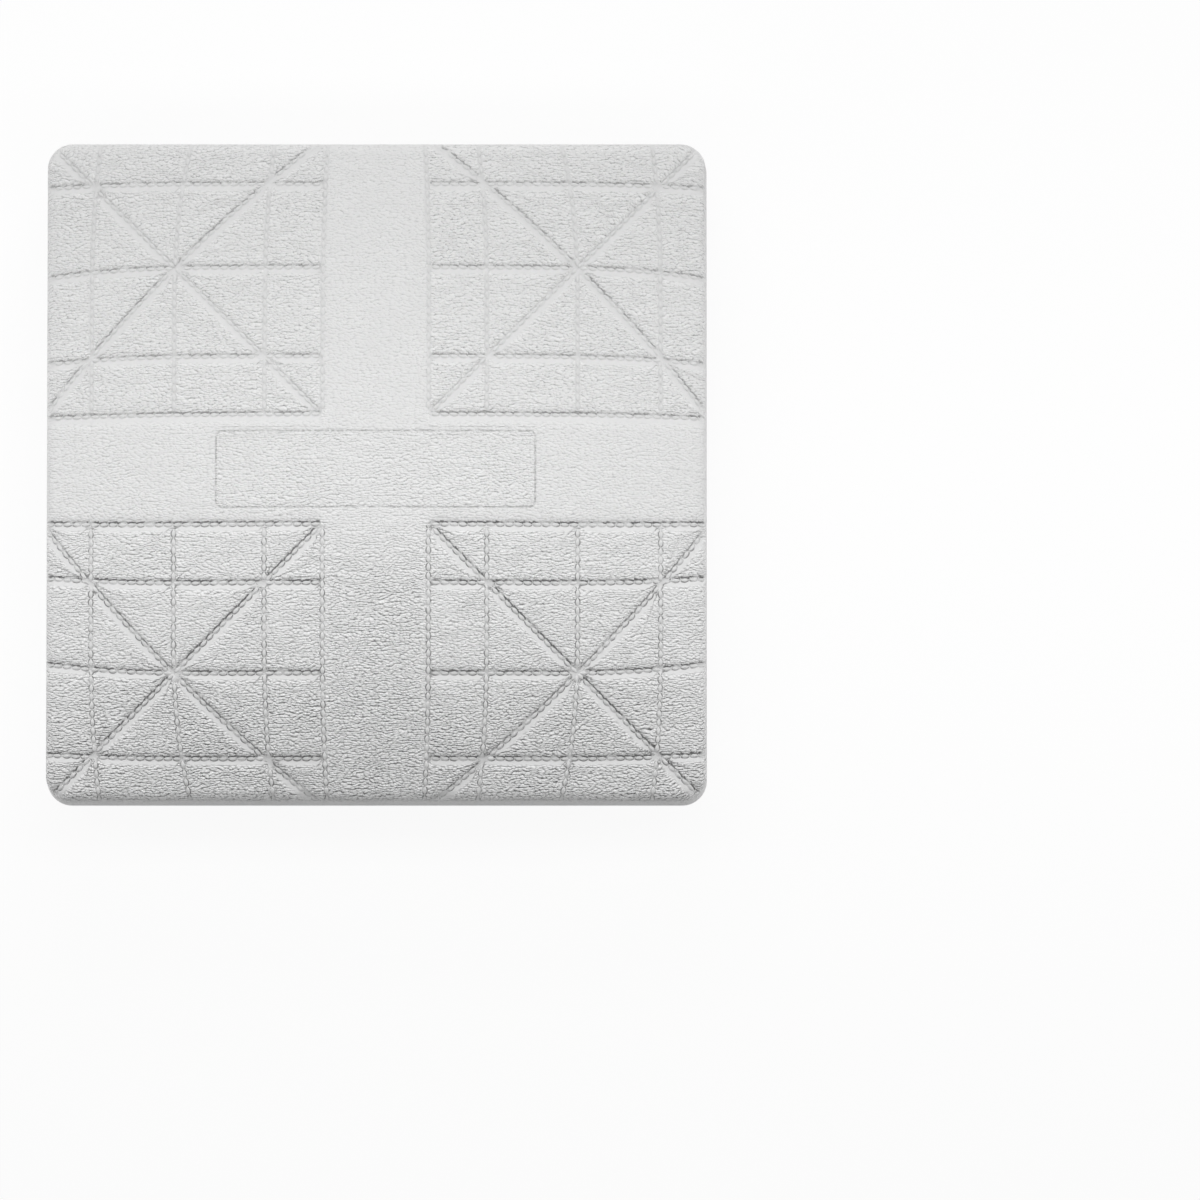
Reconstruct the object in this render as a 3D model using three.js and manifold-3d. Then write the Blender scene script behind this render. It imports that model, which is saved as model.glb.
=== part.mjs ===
// A moulded rubber baseball base: a quilted, crowned cover over a ribbed tray that stands on eight spikes.
// Millimetres, +Z up. The origin is the middle of the square, on the plane of the spike tips.
import * as THREE from 'three';
import { mergeVertices } from 'three/addons/utils/BufferGeometryUtils.js';
import Module from 'manifold-3d';

const wasm = await Module();
wasm.setup();

// Body
const side = 381;              // outer side of the square at the rim
const bodyHeight = 63.5;       // rim plane to the level middle of the top
const cornerRadius = 14.5;     // outer corners in plan
const sideDraft = 1;           // how far the side wall leans in from the rim to the shoulder
const crownRun = 169.5;        // from the shoulder in to the level middle of the top
const crownFall = 28;          // from the level middle of the top down to the shoulder
const crownPower = 1.5;        // how late the crown starts to fall on its way out
const crownCorner = 200;       // what its corner radius grows towards on the way in

// Cover
const coverTop = 7.2;          // thickness over the deck
const skirtWall = 2.8;         // thickness at the rim
const skirtFall = 26;          // fall of the cover's inside, from the deck to its shoulder
const coverFit = 0.3;          // space all round between the cover and the tray

// Quilting: channels that divide each corner panel into cells, measured from the outer edge inwards
const strapWidth = 61.4;       // plain bands that cross in the middle
const edgeCell = 26;
const outerCell = 47.7;
const starCell = 51.7;
const channelWidth = 4.8;      // across the top
const channelFloor = 1.8;      // across the bottom
const channelDepth = 1.6;
const channelStop = 2.5;       // channels end this far inside the shoulder
const channelStep = 22;        // they follow the crown in steps no longer than this
const channelBow = 0.05;       // share by which a channel leans to the middle at the edge
const outerBow = 0.016;        // the same for the outermost channel
const bowRun = 100;            // the lean starts this far from the edge
const bowPower = 2.5;          // how late the lean grows
const crossInset = 6;          // from a band's edge to where the second diagonal runs out

// Bare panel across the middle
const panelWidth = 183;
const panelHeight = 43.8;
const panelCorner = 3.6;
const panelLine = 1.2;         // width of the groove round the panel
const panelDepth = 0.7;
const panelStep = 25;          // the groove follows the crown in steps no longer than this
const panelLap = 1;            // its two halves run this far past each other

// Tray
const deckThickness = 8;
const lipWidth = 7.1;          // flat lip that lies on the ground
const wallDraft = 2;           // how far the walls lean in from the lip to the ceiling
const cavityCorner = 7.5;
const ceilingFall = 18;        // from the middle of the ceiling down to the walls

// Rib frame under the deck
const ribRecess = 7;           // crests lie this far inside the rim plane
const ribWidth = 9;            // at the crest
const ribSpread = 0.6;         // each flank leans out this far at the root
const ribEdge = 0.9;           // broken edges along the crest
const stubLength = 24;         // clear length of a stub rib, wall to outer arc
const arcBow = 17.5;           // rise of an outer arc from corner to mid side
const arcGap = 19;             // clear gap between an outer arc and the ring at mid side
const endGap = 16;             // from a diagonal's free end to the corner of the walls
const endWidth = 7;            // width of a diagonal at its free end
const endSlope = 9;            // length of the sloped end
const endDrop = 5;             // how far the sloped end falls back
const buttGap = 0.3;           // space where one member ends on another

// Spikes
const spikeReach = 19;         // below the rim plane
const spikeFoot = 6.4;         // radius on the crest
const spikeTip = 3.4;          // radius of the round tip
const bossEdge = 0.8;          // how far a boss stands out round a spike's foot
const shankRadius = 2.5;
const shankLength = 14;
const shankFit = 0.3;

// Fineness of the curves
const cornerSteps = 5;
const crownSteps = 5;
const arcSteps = 9;
const bendSteps = 12;
const roundSides = 12;
const tipSteps = 3;
const hubSides = 8;
const overcut = 5;             // cutters reach this far past the faces that they cut

// What follows from the sizes above
const quarterTurn = Math.PI / 2;
const half = side / 2;
const rimZ = spikeReach;
const topZ = rimZ + bodyHeight;
const coverSeatZ = topZ - coverTop;
const deckZ = coverSeatZ - coverFit;
const ceilingZ = deckZ - deckThickness;
const crestZ = rimZ + ribRecess;
const shoulder = half - sideDraft;
const levelHalf = shoulder - crownRun;
const coverInside = half - skirtWall;
const trayHalf = coverInside - coverFit;
const cavityHalf = trayHalf - lipWidth;
const ceilingHalf = cavityHalf - wallDraft;
const arcMiddle = ceilingHalf - stubLength - ribWidth / 2;
const arcCorner = arcMiddle - arcBow;
const arcRadius = (arcCorner ** 2 + arcBow ** 2) / (2 * arcBow);
const ringRadius = arcMiddle - ribWidth - arcGap;
const bossRadius = spikeFoot + bossEdge + ribEdge;
const cornerReach = (cavityHalf - cavityCorner * (1 - Math.SQRT1_2)) * Math.SQRT2;
const diagonalEnd = cornerReach - endGap;
const hubApothem = (ribWidth / 2 + ribSpread + buttGap) / Math.tan(quarterTurn / 4);

// Meshes and solids

function solid(geometry) {
  const bare = geometry.clone();
  bare.deleteAttribute('normal');
  bare.deleteAttribute('uv');
  const merged = mergeVertices(bare);
  const vertProperties = merged.attributes.position.array;
  const triVerts = new Uint32Array(merged.index.array);
  return new wasm.Manifold(new wasm.Mesh({ numProp: 3, vertProperties, triVerts }));
}

function geometryOf(body) {
  const { vertProperties, triVerts } = body.getMesh();
  const geometry = new THREE.BufferGeometry();
  geometry.setAttribute('position', new THREE.BufferAttribute(vertProperties, 3));
  geometry.setIndex(new THREE.BufferAttribute(triVerts, 1));
  geometry.computeVertexNormals();
  return geometry;
}

// Skins rings of equal count, from the first to the last, and closes both ends flat.
// A ring turns anticlockwise about the way that the rings run. ends gives the end faces in their own plane.
function loft(rings, ends = [rings[0], rings.at(-1)]) {
  const count = rings[0].length;
  const last = (rings.length - 1) * count;
  const index = [];
  for (let ring = 0; ring < last; ring += count) {
    for (let i = 0; i < count; i++) {
      const j = (i + 1) % count;
      index.push(ring + i, ring + j, ring + count + j);
      index.push(ring + i, ring + count + j, ring + count + i);
    }
  }
  for (const [a, b, c] of THREE.ShapeUtils.triangulateShape([...ends[0]], [])) {
    index.push(a, c, b);
  }
  for (const [a, b, c] of THREE.ShapeUtils.triangulateShape([...ends[1]], [])) {
    index.push(last + a, last + b, last + c);
  }
  const geometry = new THREE.BufferGeometry();
  geometry.setFromPoints(rings.flat());
  geometry.setIndex(index);
  return geometry;
}

function squareRing(halfWidth, radius, z) {
  const ring = [];
  const inset = halfWidth - radius;
  for (let corner = 0; corner < 4; corner++) {
    const centre = new THREE.Vector2(inset, inset).rotateAround(new THREE.Vector2(), corner * quarterTurn);
    for (let step = 0; step <= cornerSteps; step++) {
      const angle = (corner + step / cornerSteps) * quarterTurn;
      ring.push(new THREE.Vector3(centre.x + radius * Math.cos(angle), centre.y + radius * Math.sin(angle), z));
    }
  }
  return ring;
}

// The crowned body

// The crown falls ever more steeply from its level middle and is upright at the shoulder,
// and its corners grow rounder towards the middle until its rings are circles.
function crownAt(angle, dome) {
  const share = Math.cos(angle);
  const halfWidth = levelHalf + (dome.shoulder - levelHalf) * share;
  const radius = dome.corner + (crownCorner - dome.corner) * Math.sin(angle);
  return {
    halfWidth,
    radius: Math.min(halfWidth, radius),
    z: dome.top - dome.fall * (1 - Math.sqrt(1 - share ** crownPower)),
  };
}

function domeRings(dome, footZ) {
  const rings = [squareRing(dome.foot, dome.corner, footZ)];
  for (let step = 0; step <= crownSteps; step++) {
    const ring = crownAt((step / crownSteps) * quarterTurn, dome);
    rings.push(squareRing(ring.halfWidth, ring.radius, ring.z));
  }
  return rings;
}

const outside = { foot: half, shoulder, corner: cornerRadius, top: topZ, fall: crownFall };
const inside = {
  foot: coverInside,
  shoulder: coverInside - sideDraft,
  corner: cornerRadius - skirtWall,
  top: coverSeatZ,
  fall: skirtFall,
};
const trayOutside = {
  foot: trayHalf,
  shoulder: trayHalf - sideDraft,
  corner: inside.corner - coverFit,
  top: deckZ,
  fall: skirtFall,
};

const crown = new THREE.Mesh(loft(domeRings(outside, rimZ)));
const plumb = new THREE.Raycaster();
const down = new THREE.Vector3(0, 0, -1);

function crownHeight(x, y) {
  plumb.set(new THREE.Vector3(x, y, topZ + overcut), down);
  return plumb.intersectObject(crown)[0].point.z;
}

// Quilting

const border = strapWidth / 2;
const outerLine = half - edgeCell;
const starLine = outerLine - outerCell;
const innerLine = starLine - starCell;
const channelEnd = shoulder - channelStop;

// A channel leans towards the middle of the side that it runs out on.
function lean(along, bow) {
  const share = Math.max(0, (along - (half - bowRun)) / bowRun);
  return 1 - bow * share ** bowPower;
}

// Places along a channel that runs from a band to the edge, close enough for it to follow the crown,
// with one on the crown's outermost bend.
function channelStops(end) {
  const bend = crownAt(quarterTurn / crownSteps, outside).halfWidth;
  const run = bend - border;
  const count = Math.ceil(run / channelStep);
  const stops = Array.from({ length: count + 1 }, (_, i) => border + (run * i) / count);
  return [...stops.filter((stop) => stop < end), end];
}

// The cutter's section has sloped flanks, a flat floor and an open top above the crown.
const flank = (channelWidth - channelFloor) / 2 / channelDepth;
const openHalf = channelWidth / 2 + flank * overcut;
const channelSection = [
  [openHalf, overcut],
  [-openHalf, overcut],
  [-channelFloor / 2, -channelDepth],
  [channelFloor / 2, -channelDepth],
].map(([across, up]) => new THREE.Vector2(across, up));

// Carries a section along a line in plan, at the height of the crown.
function crownCutter(plan, section) {
  const rings = plan.map((point, i) => {
    const before = plan[Math.max(i - 1, 0)];
    const after = plan[Math.min(i + 1, plan.length - 1)];
    const ahead = after.clone().sub(before).normalize();
    const z = crownHeight(point.x, point.y);
    return section.map(
      (p) => new THREE.Vector3(point.x - ahead.y * p.x, point.y + ahead.x * p.x, z + p.y),
    );
  });
  return solid(loft(rings, [section, section]));
}

function panelChannels() {
  const bows = [[border, channelBow], [innerLine, channelBow], [starLine, channelBow], [outerLine, outerBow]];
  const lines = bows.map(([offset, bow]) =>
    channelStops(channelEnd).map((along) => new THREE.Vector2(offset * lean(along, bow), along)),
  );
  const across = lines.map((line) => line.map((p) => new THREE.Vector2(p.y, p.x)));
  const corner = channelEnd - cornerRadius * (1 - Math.SQRT1_2);
  const rising = channelStops(corner).map((place) => new THREE.Vector2(place, place));
  const runOut = border + crossInset;
  const falling = [
    new THREE.Vector2(runOut, channelEnd),
    new THREE.Vector2(innerLine, outerLine),
    new THREE.Vector2(starLine, starLine),
    new THREE.Vector2(outerLine, innerLine),
    new THREE.Vector2(channelEnd, runOut),
  ];
  const bend = new THREE.SplineCurve(falling).getPoints(bendSteps);
  return [...lines, ...across, rising, bend];
}

// One half of the panel's outline, from the middle of its near side to the middle of its far side.
function halfPanel() {
  const x = panelWidth / 2 - panelCorner;
  const y = panelHeight / 2 - panelCorner;
  const outline = new THREE.Path();
  outline.moveTo(-panelLap, -panelHeight / 2);
  outline.absarc(x, -y, panelCorner, -quarterTurn, 0);
  outline.absarc(x, y, panelCorner, 0, quarterTurn);
  outline.lineTo(-panelLap, panelHeight / 2);
  return outline.getPoints(cornerSteps);
}

// The same line with points no further apart than a step.
function inSteps(line, step) {
  return line.flatMap((point, i) => {
    const before = line[Math.max(i - 1, 0)];
    const count = Math.max(1, Math.ceil(point.distanceTo(before) / step));
    return Array.from({ length: count }, (_, k) => before.clone().lerp(point, (k + 1) / count));
  });
}

function panelGrooves() {
  const across = panelLine / 2;
  const section = [[across, overcut], [-across, overcut], [-across, -panelDepth], [across, -panelDepth]];
  const grooveSection = section.map(([x, up]) => new THREE.Vector2(x, up));
  const right = inSteps(halfPanel(), panelStep);
  const left = right.map((p) => new THREE.Vector2(-p.x, p.y));
  return [crownCutter(right, grooveSection), crownCutter(left, grooveSection)];
}

function cover() {
  let body = solid(crown.geometry);
  body = body.subtract(solid(loft(domeRings(inside, rimZ - overcut))));
  for (const plan of panelChannels()) {
    for (const [x, y] of [[1, 1], [-1, 1], [-1, -1], [1, -1]]) {
      const mirrored = plan.map((p) => new THREE.Vector2(p.x * x, p.y * y));
      body = body.subtract(crownCutter(mirrored, channelSection));
    }
  }
  for (const groove of panelGrooves()) {
    body = body.subtract(groove);
  }
  return geometryOf(body);
}

// The hollow under the tray, drawn in all round by a gap.
function cavity(gap) {
  const hollow = {
    foot: cavityHalf - gap,
    shoulder: ceilingHalf - gap,
    corner: cavityCorner,
    top: ceilingZ,
    fall: ceilingFall,
  };
  return loft([squareRing(hollow.foot, hollow.corner, rimZ - overcut), ...domeRings(hollow, rimZ)]);
}

function tray() {
  const body = solid(loft(domeRings(trayOutside, rimZ)));
  return geometryOf(body.subtract(solid(cavity(0))));
}

// The rib frame

// A moulded member: its plan outline is drawn in at the broken crest edges and spreads towards the root.
// grow widens it all over, to cut room for it in its neighbours.
function member(outline, grow = 0) {
  const levels = [
    [crestZ - grow, ribEdge - grow],
    [crestZ + ribEdge, -grow],
    [ceilingZ, -ribSpread - grow],
  ];
  return loft(levels.map(([z, inset]) => outline(inset).map((p) => new THREE.Vector3(p.x, p.y, z))));
}

// A member ends under the domed ceiling and just short of the walls.
function underCeiling(body, turn = 0) {
  return geometryOf(body.intersect(solid(cavity(buttGap).rotateZ(turn))));
}

function bar(from, to) {
  return (inset) => {
    const y = ribWidth / 2 - inset;
    return [[from, -y], [to, -y], [to, y], [from, y]].map(([x, across]) => new THREE.Vector2(x, across));
  };
}

function disc(centreX, radius, sides) {
  return (inset) => {
    const circle = new THREE.EllipseCurve(centreX, 0, radius - inset, radius - inset);
    return circle.getPoints(sides).slice(0, sides);
  };
}

function band(centreX, radius, reach) {
  return (inset) => {
    const y = ribWidth / 2 - inset;
    const outer = new THREE.EllipseCurve(centreX, 0, radius + y, radius + y, -reach, reach);
    const inner = new THREE.EllipseCurve(centreX, 0, radius - y, radius - y, reach, -reach, true);
    return [...outer.getPoints(arcSteps), ...inner.getPoints(arcSteps)];
  };
}

function octagon(inset) {
  const reach = (hubApothem - inset) / Math.cos(quarterTurn / 4);
  const corners = [];
  const turn = (4 * quarterTurn) / hubSides;
  for (let corner = 0; corner < hubSides; corner++) {
    const angle = corner * turn + turn / 2;
    corners.push(new THREE.Vector2(reach * Math.cos(angle), reach * Math.sin(angle)));
  }
  return corners;
}

// A diagonal narrows to a round free end, where its crest slopes back towards the deck.
function diagonalBar(grow) {
  const levels = [
    [crestZ - grow, ribEdge - grow, diagonalEnd - endSlope],
    [crestZ + ribEdge, -grow, diagonalEnd - endSlope + ribEdge],
    [crestZ + endDrop, -grow - ribSpread * (endDrop / (ceilingZ - crestZ)), diagonalEnd],
    [ceilingZ, -grow - ribSpread, diagonalEnd],
  ];
  const ring = ([z, inset, end]) => {
    const y = ribWidth / 2 - inset;
    const tip = endWidth / 2 - inset;
    const cap = new THREE.EllipseCurve(end - tip, 0, tip, tip, -quarterTurn, quarterTurn);
    const outline = [new THREE.Vector2(0, y), new THREE.Vector2(0, -y), ...cap.getPoints(cornerSteps)];
    return outline.map((p) => new THREE.Vector3(p.x, p.y, z));
  };
  return loft(levels.map(ring));
}

const spikePlaces = { ring: ringRadius, corner: arcCorner * Math.SQRT2 };

function diagonalSolid(grow) {
  let body = solid(diagonalBar(grow));
  for (const place of Object.values(spikePlaces)) {
    body = body.add(solid(member(disc(place, bossRadius, roundSides), grow)));
  }
  return body;
}

function diagonalRib() {
  let body = diagonalSolid(0).subtract(solid(member(octagon, buttGap)));
  for (const place of Object.values(spikePlaces)) {
    const depth = shankLength + shankFit;
    const bore = new THREE.CylinderGeometry(
      shankRadius + shankFit, shankRadius + shankFit, depth + overcut, roundSides,
    );
    bore.rotateX(quarterTurn).translate(place, 0, crestZ + (depth - overcut) / 2);
    body = body.subtract(solid(bore));
  }
  return underCeiling(body, quarterTurn / 2);
}

function clearOfDiagonals(geometry) {
  const room = geometryOf(diagonalSolid(buttGap));
  const left = solid(room.clone().rotateZ(quarterTurn / 2));
  const right = solid(room.clone().rotateZ(-quarterTurn / 2));
  return underCeiling(solid(geometry).subtract(left).subtract(right));
}

const ringBand = band(0, ringRadius, quarterTurn / 2);
const arcBand = band(arcMiddle - arcRadius, arcRadius, Math.asin(arcCorner / arcRadius));

function crossRib() {
  const body = solid(member(bar(0, ringRadius)));
  const hubRoom = solid(member(octagon, buttGap));
  return underCeiling(body.subtract(hubRoom).subtract(solid(member(ringBand, buttGap))));
}

function stubRib() {
  const body = solid(member(bar(arcMiddle, trayHalf)));
  return underCeiling(body.subtract(solid(member(arcBand, buttGap))));
}

function spike() {
  const profile = [];
  for (let step = 0; step <= tipSteps; step++) {
    const angle = (step / tipSteps) * quarterTurn;
    profile.push(new THREE.Vector2(spikeTip * Math.sin(angle), spikeTip * (1 - Math.cos(angle))));
  }
  profile.push(new THREE.Vector2(spikeFoot, crestZ));
  profile.push(new THREE.Vector2(shankRadius, crestZ));
  profile.push(new THREE.Vector2(shankRadius, crestZ + shankLength));
  profile.push(new THREE.Vector2(0, crestZ + shankLength));
  return new THREE.LatheGeometry(profile, roundSides).rotateX(quarterTurn);
}

// The assembly

function piece(name, geometry, finish) {
  const mesh = new THREE.Mesh(geometry, new THREE.MeshStandardMaterial(finish));
  mesh.name = name;
  return mesh;
}

const grainedRubber = { color: 0xdadada, roughness: 0.78, metalness: 0 };
const smoothWhite = { color: 0xeeeeec, roughness: 0.42, metalness: 0 };

const base = new THREE.Group();
base.add(piece('cover', cover(), grainedRubber));
base.add(piece('tray', tray(), smoothWhite));
base.add(piece('hub', member(octagon), smoothWhite));

const sideParts = {
  cross_rib: crossRib(),
  ring_arc: clearOfDiagonals(member(ringBand)),
  outer_arc: clearOfDiagonals(member(arcBand)),
  stub_rib: stubRib(),
};
['east', 'north', 'west', 'south'].forEach((name, turn) => {
  const group = new THREE.Group();
  group.rotation.z = turn * quarterTurn;
  for (const [part, geometry] of Object.entries(sideParts)) {
    group.add(piece(`${part}_${name}`, geometry, smoothWhite));
  }
  base.add(group);
});

const rib = diagonalRib();
const spikeShape = spike();
['north_east', 'north_west', 'south_west', 'south_east'].forEach((name, turn) => {
  const group = new THREE.Group();
  group.rotation.z = (turn + 0.5) * quarterTurn;
  group.add(piece(`diagonal_rib_${name}`, rib, smoothWhite));
  for (const [place, reach] of Object.entries(spikePlaces)) {
    const mesh = piece(`${place}_spike_${name}`, spikeShape, smoothWhite);
    mesh.position.x = reach;
    group.add(mesh);
  }
  base.add(group);
});

export default base;
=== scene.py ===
import bpy
import numpy as np
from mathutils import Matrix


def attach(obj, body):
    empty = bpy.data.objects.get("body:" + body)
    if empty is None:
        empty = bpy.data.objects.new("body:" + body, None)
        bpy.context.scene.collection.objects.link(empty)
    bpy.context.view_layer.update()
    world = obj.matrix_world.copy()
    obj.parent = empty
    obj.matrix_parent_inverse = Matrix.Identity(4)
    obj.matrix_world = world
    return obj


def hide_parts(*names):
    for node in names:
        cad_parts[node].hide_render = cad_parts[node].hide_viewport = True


# A quilted rubber baseball base on a ribbed, spiked tray.
# Sizes are in millimetres, in the model's frame.
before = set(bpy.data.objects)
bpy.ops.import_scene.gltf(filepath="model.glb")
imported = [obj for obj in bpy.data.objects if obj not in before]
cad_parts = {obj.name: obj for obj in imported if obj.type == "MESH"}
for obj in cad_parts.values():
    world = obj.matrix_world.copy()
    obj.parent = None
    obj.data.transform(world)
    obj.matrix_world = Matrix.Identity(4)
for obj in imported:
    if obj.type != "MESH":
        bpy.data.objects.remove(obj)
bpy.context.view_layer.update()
print("frame:", len(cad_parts), "nodes")

mm = 0.001
tiny = 1e-9  # keeps divisions from zero
halvings = 40  # steps of a search by halving
quarter = np.pi / 2
sides = ("east", "north", "west", "south")
corners = ("north_east", "north_west", "south_west", "south_east")
signs = ((1, 1), (-1, 1), (-1, -1), (1, -1))  # of x and y towards those corners


# Finishes

class Wire:
    # holds one socket; arithmetic on wires adds Math nodes
    def __init__(self, tree, socket=None):
        self.tree = tree
        self.socket = socket

    # any node: its type, its settings, then the values or links of its sockets
    def node(self, kind, settings=(), sockets=(), out=0):
        made = self.tree.nodes.new("ShaderNode" + kind)
        for key, value in dict(settings).items():
            setattr(made, key, value)
        for key, value in dict(sockets).items():
            if isinstance(value, Wire):
                self.tree.links.new(value.socket, made.inputs[key])
            else:
                made.inputs[key].default_value = value
        return Wire(self.tree, made.outputs[out] if made.outputs else None)

    def math(self, operation, *values):
        return self.node("Math", {"operation": operation}, enumerate(values))

    def vector(self, operation, *values):
        return self.node("VectorMath", {"operation": operation}, enumerate(values))

    def noise(self, place, settings, out="Fac"):
        return self.node("TexNoise", {}, {"Vector": place, **settings}, out)

    def __add__(self, other):
        return self.math("ADD", self, other)

    def __sub__(self, other):
        return self.math("SUBTRACT", self, other)

    def __rsub__(self, other):
        return self.math("SUBTRACT", other, self)

    def __mul__(self, other):
        return self.math("MULTIPLY", self, other)

    def __abs__(self):
        return self.math("ABSOLUTE", self)

    def most(self, other):
        return self.math("MAXIMUM", self, other)

    # 1 where this is 1, less by the given share where it is 0
    def partly(self, share):
        return self * share + (1 - share)

    # 0 below low, 1 above high, smooth between
    def ramp(self, low, high):
        return self.node(
            "MapRange", {"interpolation_type": "SMOOTHSTEP"},
            {"Value": self, "From Min": low, "From Max": high})

    # colour a where this is 0, colour b where it is 1
    def mix(self, a, b):
        return self.node("Mix", {"data_type": "RGBA"}, {0: self, 6: a, 7: b}, out=2)


def newFinish(name):
    finish = bpy.data.materials.new(name)
    finish.use_nodes = True
    finish.node_tree.nodes.clear()
    return finish, Wire(finish.node_tree)


# object coordinates in millimetres, stretched by a factor on each axis
def placeIn(wire, stretch=(1, 1, 1)):
    place = wire.node("TexCoord", out="Object")
    return wire.vector("MULTIPLY", place, [s / mm for s in stretch])


# the last nodes of a finish; the relief's depth is in metres
def closeFinish(wire, colour, rough, height, depth, bump=1.0):
    relief = wire.node("Bump", {}, {"Strength": bump, "Distance": depth, "Height": height})
    skin = wire.node("BsdfPrincipled", {}, {"Base Color": colour, "Roughness": rough, "Normal": relief})
    wire.node("OutputMaterial", {}, {"Surface": skin})


rubberLook = {
    "colour": (0.70, 0.70, 0.70, 1),
    "creaseShade": (0.20, 0.20, 0.20, 1),  # painted shade along the seams
    "pebble": (0.46, 0.80, 0.0),  # pebbles per millimetre, along the rows and from row to row
    "uneven": 0.85,  # how far pebbles stray within their rows
    "wander": 2.6,  # how far the rows wander
    "evenTone": 0.27,  # painted highlight: how much lighter a pebble's top is, keeping the mean against the gaps' painted shade
    "gap": (0.45, 0.72),  # painted shade: dark gaps set in this far from a pebble's middle
    "below": (-0.10, 0.40),  # where a pebble's lower side, with more painted shade, starts and ends
    "shaded": 0.85,  # how much fainter the painted shade in a gap is above its pebble than below it
    "speck": (0.42, 0.58),  # what of the fine pattern turns gaps into specks
    "sparse": 0.5,  # how far it does
    "crowded": (1.0, 1.4),  # strengths of grain, reached towards the front, between which the gaps' painted shade widens
    "crowd": 0.10,  # how much wider they grow
    "patch": (0.3, 0.7),  # the grain comes and goes slowly
    "patchy": 0.3,  # by this share
    "mottle": 0.012,  # slow light and dark over the whole cover
    "roughness": (0.62, 0.80),
    "relief": 0.0013,  # height of the grain, in metres
    "round": (0.1, 0.75),  # a pebble falls off over this distance
    "grainShare": 0.6,  # shares of the relief: pebbles
    "fineShare": 0.12,  # the fine pattern on them
    "foldShare": 0.3,  # wrinkles
    "darkShare": 0.3,  # creases and outlines, which are painted shade, also sunk into the relief by this share
    "foldStretch": (0.12, 0.85, 0.60),  # wrinkles per millimetre on each axis
    "creaseAt": 1.3,  # from a seam's middle, in millimetres
    "creaseWidth": 0.85,
    "creaseBreak": (0.36, 0.58),  # what of the breaks' pattern leaves a crease plain
    "creaseBroken": 0.8,  # how far it fades elsewhere
    "ragged": 1.8,  # how far a crease wanders
    "twist": 0.32,  # how far it slants within each stitch
    "arcWidth": 0.60,  # painted shade outlining a stitch
    "arcBulge": 0.75,  # share by which a stitch narrows at its ends
    "arcEnd": (0.02, 0.40),  # the outline fades in from a stitch's ends
    "arcBreak": (0.40, 0.60),  # as for the crease
    "arcBroken": 0.7,
    "noise": {
        "drift": {"Scale": 0.16, "Detail": 2.0},
        "fine": {"Scale": 1.6, "Detail": 3.0, "Roughness": 0.6},
        "slow": {"Scale": 0.035, "Detail": 3.0},
        "fold": {"Scale": 1.0, "Detail": 3.0, "Distortion": 1.2},
        "breaks": {"Scale": 0.22, "Detail": 2.0},
    },
}


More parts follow.
